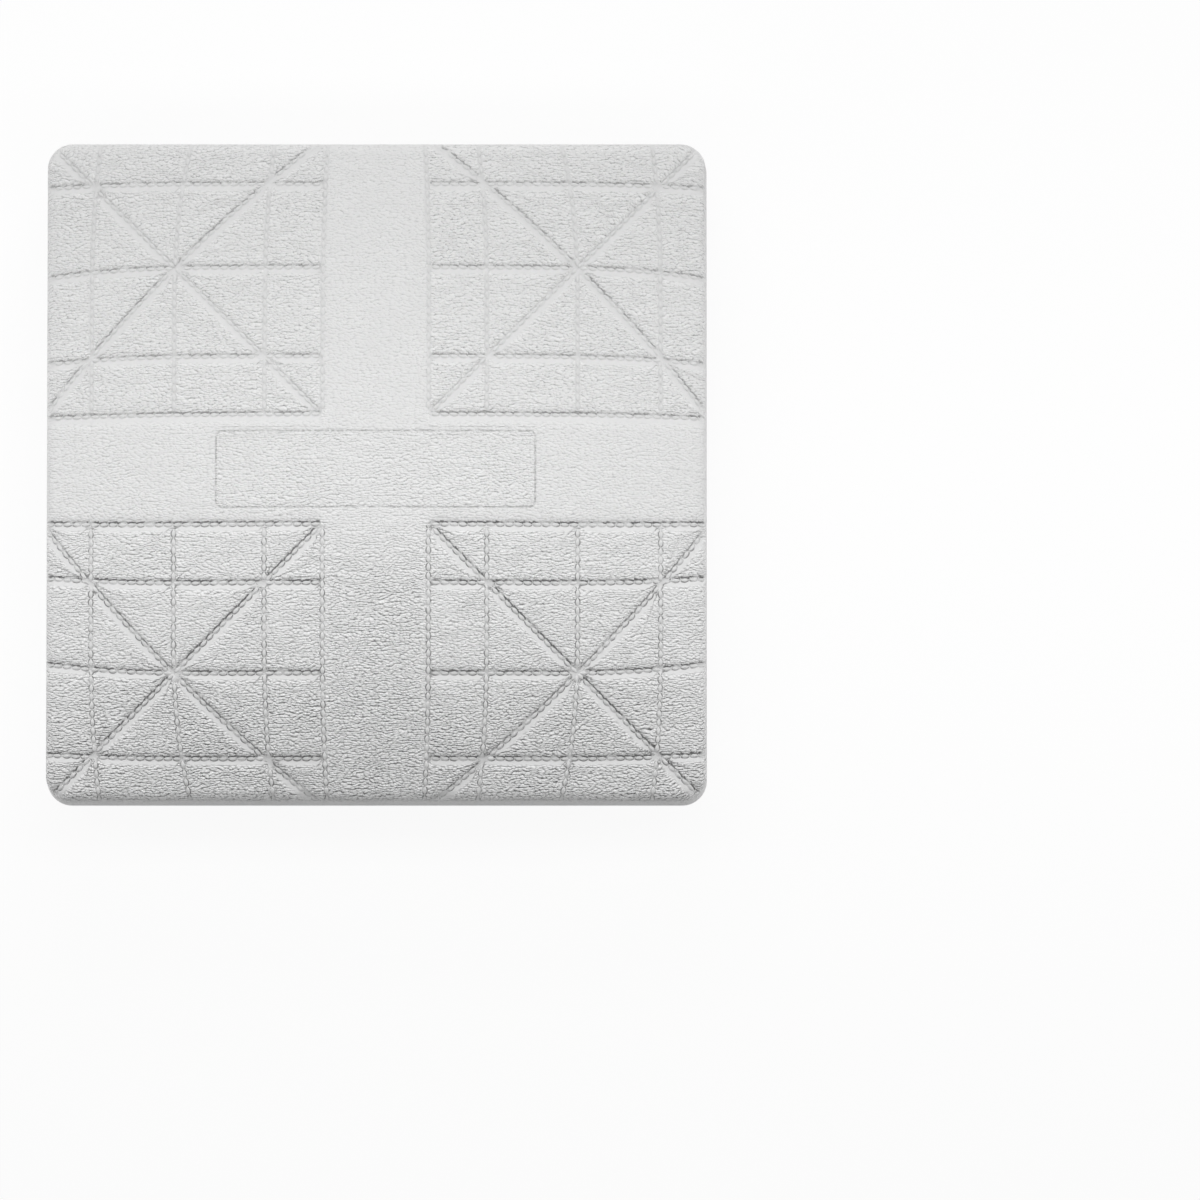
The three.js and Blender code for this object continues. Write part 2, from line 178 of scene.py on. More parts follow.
# Pebbled rubber, laid out flat, with painted shade: dark specks in the gaps below the pebbles, whose
# tops are painted lighter, a dark crease along each seam and dark outlines round its stitches.
# Attributes say how strong grain and wrinkles are, how far a point is from its seam's middle, upper or
# left side positive, how many stitches it lies along the seam, whether the seam is an upright chain,
# and how strong the painted shade of its crease and of its stitches' outlines is.
def grainedRubber():
    look = rubberLook
    noise = look["noise"]
    finish, w = newFinish("grainedRubber")
    mark = {name: w.node("Attribute", {"attribute_name": name}, out="Fac")
            for name in ("grain", "wrinkle", "across", "along", "chain", "creaseShade", "outline")}
    place = placeIn(w)
    spread = w.node("Attribute", {"attribute_name": "spread"}, out="Vector")
    rows = w.vector("MULTIPLY", spread, look["pebble"])
    drift = w.noise(rows, noise["drift"], out="Color")
    bent = w.vector("MULTIPLY_ADD", drift, (look["wander"],) * 3, rows)
    cells = {"Vector": bent, "Scale": 1.0, "Randomness": look["uneven"]}
    away = w.node("TexVoronoi", {"voronoi_dimensions": "2D"}, cells, out="Distance")
    middle = Wire(w.tree, away.socket.node.outputs["Position"])
    aside = w.vector("SUBTRACT", middle, bent)
    below = w.node("SeparateXYZ", {}, {"Vector": aside}, out="Y").ramp(*look["below"])
    fine = w.noise(bent, noise["fine"])
    slow = w.noise(place, noise["slow"])
    fold = w.noise(placeIn(w, look["foldStretch"]), noise["fold"])
    breaks = w.noise(place, noise["breaks"])

    # a dark line where the value is 0
    def drawn(value, width):
        return 1 - abs(value).ramp(0.0, width)

    across = mark["across"]
    grain = mark["grain"] * slow.ramp(*look["patch"]).partly(look["patchy"])
    halfway = mark["along"].math("FRACT", mark["along"]) * 2 - 1
    bulge = 1 - halfway * halfway
    astray = (fine + breaks - 1) * look["ragged"] + halfway * look["twist"]
    # painted shade: a dark crease drawn on the upper side of each seam, broken up in places
    creaseShade = drawn(across + astray - look["creaseAt"], look["creaseWidth"]) * mark["creaseShade"]
    creaseShade = creaseShade * breaks.ramp(*look["creaseBreak"]).partly(look["creaseBroken"])
    # painted shade: dark outlines round the stitches, below level and slanting seams and on both sides
    # of upright chains
    side = abs(across) - bulge.partly(look["arcBulge"]) * look["creaseAt"]
    lower = across.math("LESS_THAN", across, 0.0)
    outline = drawn(side, look["arcWidth"]) * lower.most(mark["chain"]) * mark["outline"]
    outline = outline * bulge.ramp(*look["arcEnd"])
    outline = outline * breaks.ramp(*look["arcBreak"]).partly(look["arcBroken"])
    dark = creaseShade + outline
    height = (fine * look["fineShare"] - away.ramp(*look["round"])) * grain * look["grainShare"]
    height = height + fold * mark["wrinkle"] * look["foldShare"] - dark * look["darkShare"]

    # painted shade in the gaps between pebbles, fullest below each pebble and wider where the grain is
    # strongest, towards the front; the pebble tops are painted lighter
    crowd = mark["grain"].ramp(*look["crowded"]) * look["crowd"]
    gap = (away + crowd).ramp(*look["gap"]) * below.partly(look["shaded"])
    gap = gap * fine.ramp(*look["speck"]).partly(look["sparse"])
    tone = (look["evenTone"] - gap) * grain + 1
    tone = tone * (slow * look["mottle"] * 2 + 1 - look["mottle"])
    multiply = {"data_type": "RGBA", "blend_type": "MULTIPLY"}
    colour = w.node("Mix", multiply, {0: 1.0, 6: look["colour"], 7: tone}, out=2)
    colour = dark.mix(colour, look["creaseShade"])
    low, high = look["roughness"]
    closeFinish(w, colour, away * grain * (high - low) + low, height, look["relief"])
    return finish


whiteLook = {
    "colour": (0.86, 0.86, 0.85, 1),
    "shade": (0.80, 0.80, 0.79, 1),
    "clouds": (0.35, 0.75),  # what of the slow pattern is shaded
    "roughness": (0.28, 0.14, 0.10),  # least, and what the fine and the slow pattern add
    "relief": 0.00008,  # in metres
    "bump": 0.5,
    "noise": {
        "slow": {"Scale": 0.03, "Detail": 3.0},
        "fine": {"Scale": 0.8, "Detail": 3.0},
    },
}


# Smooth moulded rubber: satin white with slow clouds and a faint texture.
def smoothWhite():
    look = whiteLook
    finish, w = newFinish("smoothWhite")
    place = placeIn(w)
    slow = w.noise(place, look["noise"]["slow"])
    fine = w.noise(place, look["noise"]["fine"])
    colour = slow.ramp(*look["clouds"]).mix(look["colour"], look["shade"])
    least, byFine, bySlow = look["roughness"]
    rough = fine * byFine + slow * bySlow + least
    closeFinish(w, colour, rough, fine, look["relief"], look["bump"])
    return finish


rubber = grainedRubber()
white = smoothWhite()
print("finishes:", rubber.name, white.name)


# Meshes

# faces of a grid of points; a closed direction joins its last line to its first
def gridFaces(rows, columns, closeRows=False, closeColumns=False):
    r = np.arange(rows if closeRows else rows - 1)[:, None]
    c = np.arange(columns if closeColumns else columns - 1)[None, :]
    row, nextRow = r * columns, (r + 1) % rows * columns
    nextC = (c + 1) % columns
    quad = np.broadcast_arrays(row + c, row + nextC, nextRow + nextC, nextRow + c)
    return np.stack(quad, -1).reshape(-1, 4)


# a skin over closed rings, with a fan of triangles on each end
def skinOf(rings):
    count, size = rings.shape[:2]
    points = np.concatenate([rings.reshape(-1, 3), rings[[0, -1]].mean(1)])
    around = np.arange(size)
    after = (around + 1) % size
    last = (count - 1) * size
    foot = np.stack([after, around, np.full(size, count * size)], -1)
    head = np.stack([last + around, last + after, np.full(size, count * size + 1)], -1)
    return points, [gridFaces(count, size, closeColumns=True), foot, head]


# several skins in one mesh
def joined(skins):
    starts = np.cumsum([0] + [len(points) for points, faces in skins[:-1]])
    faces = [f + start for (points, group), start in zip(skins, starts) for f in group]
    return np.concatenate([points for points, group in skins]), faces


# six times the volume inside the faces, which tells whether they point outwards
def outwardness(points, faces):
    total = 0.0
    for group in faces:
        corner = points[group]
        for k in range(1, group.shape[1] - 1):
            total += np.einsum("ij,ij->", corner[:, 0], np.cross(corner[:, k], corner[:, k + 1]))
    return total


def addObject(name, data):
    made = bpy.data.objects.new(name, data)
    bpy.context.scene.collection.objects.link(made)
    return made


def addPiece(name, skin, finish, slotName, nodes, marks=None, sharp=50):
    points, faces = skin
    if outwardness(points, faces) < 0:
        faces = [group[:, ::-1] for group in faces]
    mesh = bpy.data.meshes.new(name)
    sizes = np.concatenate([np.full(len(group), group.shape[1]) for group in faces])
    corner = np.concatenate([group.ravel() for group in faces]).astype(np.int32)
    mesh.vertices.add(len(points))
    mesh.vertices.foreach_set("co", (points * mm).astype(np.float32).ravel())
    mesh.loops.add(len(corner))
    mesh.loops.foreach_set("vertex_index", corner)
    mesh.polygons.add(len(sizes))
    mesh.polygons.foreach_set("loop_start", (np.cumsum(sizes) - sizes).astype(np.int32))
    mesh.polygons.foreach_set("use_smooth", np.ones(len(sizes), bool))
    mesh.update(calc_edges=True)
    mesh.set_sharp_from_angle(angle=np.radians(sharp))
    for key, values in (marks or {}).items():
        kind, field = ("FLOAT", "value") if values.ndim == 1 else ("FLOAT_VECTOR", "vector")
        data = mesh.attributes.new(key, kind, "POINT").data
        data.foreach_set(field, values.astype(np.float32).ravel())
    mesh.materials.append(finish)
    piece = addObject(name, mesh)
    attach(piece, "root")
    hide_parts(*nodes)
    print("piece:", name, int((sizes - 2).sum()), "triangles")


def unit(vectors):
    return vectors / np.linalg.norm(vectors, axis=-1, keepdims=True)


# angles of points evenly spaced round a circle
def wholeTurn(count):
    return np.linspace(0, 4 * quarter, count, endpoint=False)


# points turned about the upright axis
def turned(points, angle):
    c, s = np.cos(angle), np.sin(angle)
    return points @ np.array([[c, s, 0], [-s, c, 0], [0, 0, 1]])


# The crowned square

body = {
    "half": 190.5,
    "rimZ": 19.0,
    "corner": 14.5,
    "draft": 1.0,  # lean of the wall from rim to shoulder
    "edgeRun": 6.5,  # rounded edge of the top, in from the shoulder
    "edgeDrop": 6.5,
    "squareWithin": 45.0,  # rings inside this have square corners
    "cornerPower": 1.5,  # how late the corners grow round on the way out
    "tuck": 4.0,  # the top panels run this far down the wall
    "innerTuck": 0.5,  # and their undersides
    "wall": 2.8,  # thickness of the skirt
    "wallEnd": 2.0,  # upright end of the skirt's inside
    "rimEdge": 0.9,  # rounded edge along the rim
    "rimSteps": 5,
    "skirtRows": 24,
    "skirtSteps": (20, 60),  # round a corner and along a side
    "sectionSteps": (400, 200, 20),  # over the flat, the rounded edge and the wall
}
shoulder = body["half"] - body["draft"]
outer = {"edge": shoulder, "corner": body["corner"], "top": 82.5, "swell": 21.5}
inner = {
    "edge": shoulder - body["wall"],
    "corner": body["corner"] - body["wall"],
    "top": 75.3,
    "swell": 19.5,
}
shoulderZ = outer["top"] - outer["swell"] - body["edgeDrop"]


# Height and slopes of a pillow: a hump across times one along, so that its edges are level.
def pillow(x, y, dome):
    across = np.clip(np.stack([x, y]) / dome["edge"], -1, 1)
    hump = 1 - across ** 2
    slope = -2 * dome["swell"] / dome["edge"] * across * hump[::-1]
    return dome["top"] - dome["swell"] * (1 - hump[0] * hump[1]), slope[0], slope[1]


# Section from the middle out, as a fall from the pillow: none, a rounded edge, the wall. Gives length,
# half width, corner radius and fall, and the normal's outward and upward shares.
def crownSection(dome, tuck):
    flatSteps, edgeSteps, wallSteps = body["sectionSteps"]
    turn = np.linspace(0, quarter, edgeSteps)
    edge, run, drop = dome["edge"], body["edgeRun"], body["edgeDrop"]
    flat = np.linspace(0, edge - run, flatSteps)[:-1]
    wall = np.linspace(0, tuck, wallSteps)[1:]
    wide = np.concatenate([flat, edge - run * (1 - np.sin(turn)), np.full(len(wall), edge)])
    fall = np.concatenate([np.zeros(len(flat)), drop * (1 - np.cos(turn)), drop + wall])
    grow = np.clip((wide - body["squareWithin"]) / (edge - body["squareWithin"]), 0, 1)
    radius = dome["corner"] * grow ** body["cornerPower"]
    length = np.concatenate([[0], np.cumsum(np.hypot(np.diff(wide), np.diff(fall)))])
    return length, wide, radius, fall, np.gradient(fall, length), np.gradient(wide, length)


outer["section"] = crownSection(outer, body["tuck"])
inner["section"] = crownSection(inner, body["innerTuck"])
reach = outer["section"][0][-1]


# Point and normal over the crowned square for flat coordinates: the larger one picks the ring by its
# length along the section, and the share of the smaller one runs along that ring, round its corner.
def crowned(flatX, flatY, dome):
    length, wide, radius, fall, out, up = dome["section"]
    ax, ay = np.abs(flatX), np.abs(flatY)
    ring = np.maximum(ax, ay)
    u, r, drop, o, v = (np.interp(ring, length, row) for row in (wide, radius, fall, out, up))
    straight = u - r
    along = (straight + r * quarter / 2) * np.minimum(ax, ay) / np.maximum(ring, tiny)
    angle = np.clip((along - straight) / np.maximum(r, tiny), 0, quarter / 2)
    near = straight + r * np.cos(angle)
    far = np.minimum(along, straight) + r * np.sin(angle)
    wideFirst = ax >= ay
    sx, sy = np.sign(flatX), np.sign(flatY)
    x = sx * np.where(wideFirst, near, far)
    y = sy * np.where(wideFirst, far, near)
    z, slopeX, slopeY = pillow(x, y, dome)
    nx = np.where(wideFirst, np.cos(angle), np.sin(angle))
    ny = np.where(wideFirst, np.sin(angle), np.cos(angle))
    normal = np.stack([sx * nx * o - slopeX * v, sy * ny * o - slopeY * v, v], -1)
    return np.stack([x, y, z - drop], -1), unit(normal)


# distance of points outside a rounded rectangle, negative within it
def beyond(x, y, halfX, halfY, radius):
    qx, qy = np.abs(x) - (halfX - radius), np.abs(y) - (halfY - radius)
    return np.hypot(np.maximum(qx, 0), np.maximum(qy, 0)) + np.minimum(np.maximum(qx, qy), 0) - radius


# which of many nested rounded squares points in plan lie on, found by halving
def ringAt(x, y, inside, outside, squareAt):
    inside, outside = np.full_like(x, inside), np.full_like(x, outside)
    for _ in range(halvings):
        middle = (inside + outside) / 2
        half, radius = squareAt(middle)
        past = beyond(x, y, half, half, radius) > 0
        inside = np.where(past, middle, inside)
        outside = np.where(past, outside, middle)
    return outside


# half width and corner radius of the crown at a length along its section
def crownSquare(ring):
    length, wide, radius = outer["section"][:3]
    return np.interp(ring, length, wide), np.interp(ring, length, radius)


# height and normal of the crown under points in plan
def crownUnder(x, y):
    def heightAt(px, py):
        ring = ringAt(px, py, 0, reach, crownSquare)
        return pillow(px, py, outer)[0] - np.interp(ring, outer["section"][0], outer["section"][3])

    gap = 0.4
    slopeX = (heightAt(x + gap, y) - heightAt(x - gap, y)) / (2 * gap)
    slopeY = (heightAt(x, y + gap) - heightAt(x, y - gap)) / (2 * gap)
    return heightAt(x, y), unit(np.stack([-slopeX, -slopeY, np.ones_like(x)], -1))


# The quilting

quilt = {
    "band": 30.7,  # half width of the plain bands
    "uprights": (30.4, 63.8, 115.9, 163.6),  # border and lines, from the middle
    "levels": (31.6, 65.1, 116.8, 165.6),
    "uprightBows": (0.085, 0.085, 0.085, 0.032),  # lean of each towards mid side at the edge
    "levelBows": (0.04, 0.055, 0.051, 0.016),
    "bowRun": 100.0,
    "bowPower": 2.5,
    "depths": (0.5, 1.5),  # of upright lines, and of level and slanting ones
    "widths": (1.8, 2.1, 3.2),  # spread of upright lines, and of others above and below their middle
    "ends": (-1.0, 2.0),  # a line sets in between these distances past the bands' border
    "fade": (5.2, 1.2),  # lines run out between these falls of the edge
    "puff": 0.4,  # how far a cell swells
    "puffRun": 6.0,
    "smooth": (1.8, 2.0, 5.6),  # grain is full this far from upright lines, and above and below others
    "smoothShare": 0.5,  # share of that distance at which it sets in
    "crossing": (0.8, 2.4),  # a seam fades in between these distances from the next seam
    "idle": 60.0,  # distance given to lines that don't reach a point
    "bright": (-60.0, 60.0),  # grain, with its relief and painted shade, and the painted shade of creases and stitch outlines grow stronger over this stretch, to the front
    "panel": (183.0, 43.8, 3.6),  # width, height and corner radius
    "panelLine": 0.5,  # spread and depth of the groove round it
    "panelDepth": 0.4,
    "panelReach": 3.0,  # its crease is drawn within this distance
}
# how strong the finish's grain, creases and outlines are over the cover; the grain's painted shade and
# the painted shade of creases and outlines grow towards the front, as the light falls
strength = {
    "grain": (0.76, 0.32),  # at the back, and what it gains to the front
    "rimGain": 0.5,  # what it gains again by the front rim, over this stretch
    "rimRun": (105.0, 175.0),
    "most": 1.4,  # more would turn the gaps' tone negative
    "edge": 0.7,  # share of it left on the rounded edge
    "skirt": 0.55,  # on the skirt, from this far below the shoulder
    "skirtRun": 16.0,
    "armGain": 0.15,  # on the front arm of the bands, which sets in over these distances
    "armRun": (20.0, 60.0),
    "armEdge": 6.0,
    "bandLoss": (0.22, 0.52),  # in the panel, and on the bands round it
    "bandEdge": 3.0,
    "creaseShade": (0.7, 0.9),  # at the back, and what it gains to the front
    "toSide": 0.6,  # what slants to the sides gain less towards the front: painted crease shade that follows the light
    "toCorner": 0.4,  # what slants to the corners lose at the back: painted crease shade that follows the light
    # painted shade in the groove round the panel
    "panelCrease": 0.55,
    # painted shade round the stitches, at the back and what it gains to the front
    "outline": (0.12, 0.88),
}
stitch = {
    "length": 4.6,
    "width": 2.4,
    "height": 1.3,
    "taper": 0.75,  # how bluntly its ends taper
    "pitch": (4.9, 5.3),  # on upright lines, and on the others
    "lift": 0.05,
    "plain": 0.6,  # no stitches where a seam is fainter
    "reach": (-30, 60),  # numbers of the first and last along a line
    "start": 2.0,  # the first kept is this far past the border
    "stop": 4.0,  # and the last this far inside the shoulder
    "around": 8,
    "along": 5,
    "sharp": 80,  # edges sharper than this, in degrees, stay hard
}

# lines by number: upright, level, then the slants to the sides and to the corners
uprightCount, levelCount = len(quilt["uprights"]), len(quilt["levels"])
toSide = uprightCount + levelCount
toCorner = toSide + 1
lineCount = toCorner + 1
nearLine, starLine, farLine = (np.array(quilt["uprights"][1:]) + quilt["levels"][1:]) / 2
starGap = quilt["levels"][2] - quilt["uprights"][2]
slantBend = (2 * starLine - nearLine - farLine) / (farLine - nearLine) ** 2
isUpright = np.arange(lineCount) < uprightCount


# a line leans to the middle of its side, by a growing share of its offset
def lean(along, bow=quilt["levelBows"][0]):
    share = np.maximum(0, (along - (body["half"] - quilt["bowRun"])) / quilt["bowRun"])
    return 1 - bow * share ** quilt["bowPower"]


# Distance from every line, positive on the upper or left side, how many stitches along it a point lies,
# and how far the line reaches there.
def quiltLines(x, y):
    ax, ay = np.abs(x), np.abs(y)
    every = (-1,) + (1,) * ax.ndim
    keys = ("uprights", "uprightBows", "levels", "levelBows")
    uprights, uprightBows, levels, levelBows = (np.reshape(quilt[key], every) for key in keys)
    upright = ax - uprights * lean(ay, uprightBows)
    level = ay - levels * lean(ax, levelBows)
    gap = ay - ax - starGap
    falling = (ax + ay - 2 * starLine + slantBend * gap ** 2) / np.sqrt(2)
    slants = np.stack([falling, gap / np.sqrt(2)])
    across = np.concatenate([level, slants]) * np.where(y < 0, -1, 1)
    signed = np.concatenate([upright * np.where(x < 0, 1, -1), across])
    onUpright, onOther = stitch["pitch"]
    along = [ay / onUpright] * uprightCount + [ax / onOther] * levelCount
    along += [gap / np.sqrt(2) / onOther, (ax + ay) / np.sqrt(2) / onOther]
    past = np.minimum(upright[0], level[0])
    inside = [past] * lineCount
    inside[0] = level[0]
    inside[uprightCount] = upright[0]
    return signed, np.stack(along), smoothStep(np.stack(inside), *quilt["ends"])


def smoothStep(value, low, high):
    t = np.clip((value - low) / (high - low), 0, 1)
    return t * t * (3 - 2 * t)


# 1 over the top, fading to 0 where the channels run out at the shoulder
def overTop(x, y, z):
    return smoothStep(z - pillow(x, y, outer)[0], *-np.array(quilt["fade"]))


# a strength at the back and what it gains to the front
def toFront(values, y):
    return values[0] + values[1] * smoothStep(-y, *quilt["bright"])


# grain strength grows to the front and again by the front rim; it deepens both the relief and the
# painted shade in the gaps
def grainAt(y, share=1):
    byRim = 1 + strength["rimGain"] * smoothStep(-y, *strength["rimRun"])
    return np.minimum(share * toFront(strength["grain"], y) * byRim, strength["most"])


# The quilted top: every line is a valley, steeper on its upper side, and the cells swell between them.
# A fine groove runs round the panel.
def quiltRelief(x, y, z):
    signed, along, held = quiltLines(x, y)
    upright = isUpright.reshape((-1,) + (1,) * x.ndim)
    away = np.abs(signed) + quilt["idle"] * (1 - held)

    def bySide(values, first, position):
        return np.where(first, values[0], np.where(position > 0, values[1], values[2]))

    depth = np.where(upright, *quilt["depths"])
    bell = np.exp(-(signed / bySide(quilt["widths"], upright, signed)) ** 2) * held
    swell = (1 - np.exp(-(away / quilt["puffRun"]) ** 2)).prod(0)
    fade = overTop(x, y, z)
    width, length, radius = quilt["panel"]
    edge = beyond(x, y, width / 2, length / 2, radius)
    groove = np.exp(-(edge / quilt["panelLine"]) ** 2)
    height = (quilt["puff"] * swell - (depth * bell).max(0)) * fade - quilt["panelDepth"] * groove

    nearest = away.argmin(0)[None]
    chain = nearest[0] < uprightCount
    reached = away.min(0) < quilt["idle"] / 2
    across = np.where(reached, np.take_along_axis(signed, nearest, 0)[0], quilt["idle"])
    seam = smoothStep(np.sort(away, 0)[1], *quilt["crossing"]) * fade * reached
    bare = bySide(quilt["smooth"], chain, across)
    grain = 1 - (1 - smoothStep(np.abs(across), quilt["smoothShare"] * bare, bare)) * fade
    onArm = smoothStep(quilt["band"] - np.abs(x), 0, strength["armEdge"])
    onArm = onArm * smoothStep(-y, *strength["armRun"])
    border = np.minimum(np.abs(x) - quilt["uprights"][0], np.abs(y) - quilt["levels"][0])
    onBand = smoothStep(-border, 0, strength["bandEdge"]) * (1 - onArm)
    byPanel = np.abs(edge) < quilt["panelReach"]
    even = 1 + strength["armGain"] * onArm - onBand * np.where(edge < 0, *strength["bandLoss"])
    # painted shade of the crease: stronger to the front, weaker on slants to the sides at the front and
    # on slants to the corners at the back
    plain = toFront(strength["creaseShade"], y)
    plain = plain - toFront((0, strength["toSide"]), y) * (nearest[0] == toSide)
    plain = plain - toFront((strength["toCorner"], -strength["toCorner"]), y) * (nearest[0] == toCorner)
    marks = {
        "grain": grain * grainAt(y, even) * (strength["edge"] + (1 - strength["edge"]) * fade),
        "wrinkle": onArm * fade,
        "across": np.where(byPanel, np.abs(edge) + rubberLook["creaseAt"], across),
        "along": np.where(byPanel, 0.5, np.take_along_axis(along, nearest, 0)[0]),
        "chain": chain * 1.0,
        "creaseShade": np.where(byPanel, strength["panelCrease"], seam * ~chain * plain),
        "outline": np.where(byPanel, 0, seam * toFront(strength["outline"], y)),
    }
    return height, seam, marks


# lines from low to high, closer together near the given places
def spacedLines(low, high, count, places, boost, spread, samples=4000):
    even = np.linspace(low, high, samples)
    density = 1 + boost * sum(np.exp(-((even - place) / spread) ** 2) for place in places)
    total = np.cumsum(density)
    return np.interp(np.linspace(total[0], total[-1], count), total, even)


# the border of bands and cells in flat coordinates
def borderAt(ring):
    half, radius = crownSquare(ring)
    return ring * quilt["band"] * lean(half) / (half - radius + radius * quarter / 2)


# grid coordinates to flat ones, with the grid's border line on the quilt's
def ontoBorder(gridX, gridY):
    band = quilt["band"]

    def shifted(one, other):
        border = borderAt(np.maximum(np.abs(other), band))
        size = np.abs(one)
        cells = border + (size - band) / (reach - band) * (reach - border)
        return np.sign(one) * np.where(size > band, cells, size * border / band)

    return shifted(gridX, gridY), shifted(gridY, gridX)


# counts of grid lines, and how much denser they are by the panel's edges and how far from them
cover = {"cellLines": 206, "cellBoost": (1.4, 3.0), "bandLines": 46, "bandBoost": (3.0, 1.6)}
panelX, panelY = quilt["panel"][0] / 2, quilt["panel"][1] / 2
alongLines = spacedLines(quilt["band"], reach, cover["cellLines"], [panelX], *cover["cellBoost"])
acrossLines = spacedLines(
    -quilt["band"], quilt["band"], cover["bandLines"], [-panelY, panelY], *cover["bandBoost"])
innerShare = inner["section"][0][-1] / reach


# a sheet of cover: the top with its relief, the inner dome under it, and a wall round every open edge
def coverSheet(flatX, flatY, faces):
    point, normal = crowned(flatX, flatY, outer)
    height, _, marks = quiltRelief(point[..., 0], point[..., 1], point[..., 2])
    top = (point + normal * height[..., None]).reshape(-1, 3)
    under = crowned(flatX * innerShare, flatY * innerShare, inner)[0].reshape(-1, 3)
    count = len(top)
    edges = np.stack([faces, np.roll(faces, -1, 1)], -1).reshape(-1, 2)
    ahead = edges[:, 0] * count + edges[:, 1]
    back = edges[:, 1] * count + edges[:, 0]
    rim = edges[~np.isin(ahead, back)]
    wall = np.stack([rim[:, 1], rim[:, 0], rim[:, 0] + count, rim[:, 1] + count], -1)
    skin = np.concatenate([top, under]), [faces, faces[:, ::-1] + count, wall]
    marks = {key: np.tile(values.ravel(), 2) for key, values in marks.items()}
    spread = np.stack([flatX, flatY, 0 * flatX], -1).reshape(-1, 3)
    return skin, {**marks, "spread": np.tile(spread, (2, 1))}


def addRubber(name, skin, marks=None, **options):
    addPiece(name, skin, rubber, "grained_rubber", ["cover"], marks, **options)


def addCells():
    gridX, gridY = np.meshgrid(alongLines, alongLines)
    flatX, flatY = ontoBorder(gridX, gridY)
    faces = gridFaces(len(alongLines), len(alongLines))
    for corner, (sx, sy) in zip(corners, signs):
        order = faces if sx * sy > 0 else faces[:, ::-1]
        skin, marks = coverSheet(sx * flatX, sy * flatY, order)
        addRubber("quiltedCells" + corner.title().replace("_", ""), skin, marks)


# the bands are the cross-shaped part of one grid
def addBands():
    lines = np.concatenate([-alongLines[:0:-1], acrossLines, alongLines[1:]])
    gridX, gridY = np.meshgrid(lines, lines)
    flatX, flatY = ontoBorder(gridX, gridY)
    faces = gridFaces(len(lines), len(lines))
    middle = np.abs((lines[1:] + lines[:-1]) / 2) < quilt["band"]
    kept = (middle[:, None] | middle[None, :]).ravel()
    faces = faces[kept]
    used = np.unique(faces)
    faces = np.searchsorted(used, faces)
    skin, marks = coverSheet(flatX.ravel()[used], flatY.ravel()[used], faces)
    addRubber("crossedBands", skin, marks)


# round a square: a point is spread times half width less radius, plus bend times radius
def squareUnits(cornerSteps, sideSteps):
    spread, bend = [], []
    towards = np.array(signs, float)
    for k, (here, after) in enumerate(zip(towards, np.roll(towards, -1, 0))):
        angle = k * quarter + np.linspace(0, quarter, cornerSteps + 1)
        spread.append(np.repeat(here[None], cornerSteps + 1, 0))
        bend.append(np.stack([np.cos(angle), np.sin(angle)], -1))
        t = np.linspace(0, 1, sideSteps + 1)[1:-1, None]
        spread.append(here * (1 - t) + after * t)
        bend.append(np.repeat(bend[-1][-1][None], sideSteps - 1, 0))
    return np.concatenate(spread), np.concatenate(bend)


# rings of rounded squares from rows of half width, corner radius and height
def squareRings(half, radius, z, units):
    half, radius, z = (np.asarray(row, float)[:, None] for row in (half, radius, z))
    spread, bend = units
    plan = spread * (half - radius)[..., None] + bend * radius[..., None]
    return np.concatenate([plan, np.broadcast_to(z[..., None], plan.shape[:2] + (1,))], -1)


# an arc in the section plane, as offsets from its centre
def arcOf(radius, start, end, steps):
    angle = np.linspace(start, end, steps + 1)
    return radius * np.cos(angle), radius * np.sin(angle)


# The skirt: down the outside, round the rim's edge and up the inside. Its grain fades below the
# shoulder and stops at the rim.
def addSkirt():
    edge, rim = body["rimEdge"], body["rimZ"]
    drop = np.linspace(shoulderZ - body["tuck"], rim + edge, body["skirtRows"])
    share = (shoulderZ - drop) / (shoulderZ - rim)
    outside = shoulder + body["draft"] * share
    outside[0] = shoulder
    curveX, curveZ = arcOf(edge, 0, -quarter, body["rimSteps"])
    innerTop = inner["top"] - inner["swell"] - inner["section"][3][-1]
    innerHalf = [body["half"] - body["wall"], inner["edge"], inner["edge"]]
    half = np.concatenate([outside, body["half"] - edge + curveX[1:], innerHalf])
    z = np.concatenate([drop, rim + edge + curveZ[1:], [rim, innerTop - body["wallEnd"], innerTop]])
    radius = body["corner"] - (body["half"] - half)
    radius[:len(drop)] = body["corner"]
    rings = squareRings(half, radius, z, squareUnits(*body["skirtSteps"]))
    faces = [gridFaces(*rings.shape[:2], closeRows=True, closeColumns=True)]
    points = rings.reshape(-1, 3)
    step = np.linalg.norm(np.diff(rings[0], axis=0, append=rings[0, :1]), axis=-1)
    wayRound = np.abs(np.cumsum(step) - step - step.sum() / 2)
    spread = np.stack([np.broadcast_to(wayRound, rings.shape[:2]), rings[..., 2], rings[..., 2]], -1)
    fall = smoothStep(shoulderZ - rings[..., 2], 0, strength["skirtRun"])
    grain = strength["edge"] * grainAt(rings[..., 1]) * (1 - fall) + strength["skirt"] * fall
    grain[len(drop):] = 0
    marks = {"grain": grain.ravel(), "spread": spread.reshape(-1, 3)}
    addRubber("sideSkirt", (points, faces), marks)


# Stitches

# one spindle, as points along x: its girth follows the sine of the way along it
def spindle():
    t = np.linspace(0, 1, stitch["along"] + 2)[1:-1, None]
    turn = wholeTurn(stitch["around"])
    girth = np.sin(np.pi * t) ** stitch["taper"]
    x = (t - 0.5) * stitch["length"]
    y = girth * np.cos(turn) * stitch["width"] / 2
    z = girth * np.sin(turn) * stitch["height"] / 2
    points, faces = skinOf(np.stack(np.broadcast_arrays(x, y, z), -1))
    points[-2:, 0] = (-stitch["length"] / 2, stitch["length"] / 2)
    return points, faces


